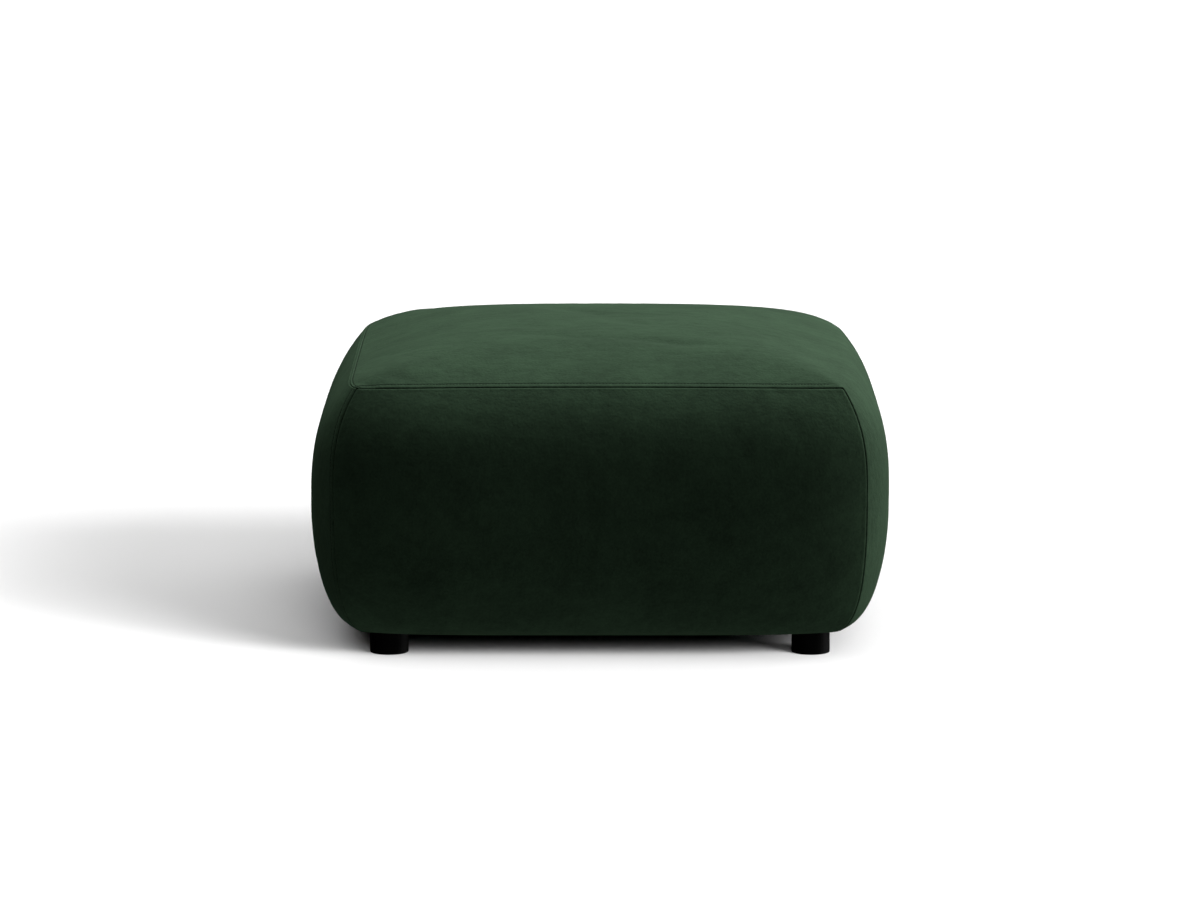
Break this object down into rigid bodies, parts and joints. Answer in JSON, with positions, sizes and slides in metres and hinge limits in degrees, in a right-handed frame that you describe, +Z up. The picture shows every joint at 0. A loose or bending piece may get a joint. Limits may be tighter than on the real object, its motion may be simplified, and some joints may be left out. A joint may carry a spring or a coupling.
{
  "type": "cube pouf stool",
  "caption": "Low square upholstered pouf in green velvet, a padded block with bulging sides and a soft crown, sewn panels with topstitched seams, on short round black feet.",
  "frame": {"origin": "on the floor under the middle of the pouf, between its feet", "axes": "+Z up, the front panel faces -Y, the left side panel faces -X and the side with no seam at its upper edge faces +X"},
  "size_m": [0.764, 0.764, 0.405],
  "materials": {
    "velvet": "dark green short-pile velvet, matt with a soft sheen",
    "foot_plastic": "black moulded plastic, matt"
  },
  "bodies": {
    "root": {"front_panel": "velvet", "back_panel": "velvet", "left_side_panel": "velvet", "top_and_right_panel": "velvet", "front_left_foot": "foot_plastic", "front_right_foot": "foot_plastic", "back_left_foot": "foot_plastic", "back_right_foot": "foot_plastic"}
  },
  "joints": []
}
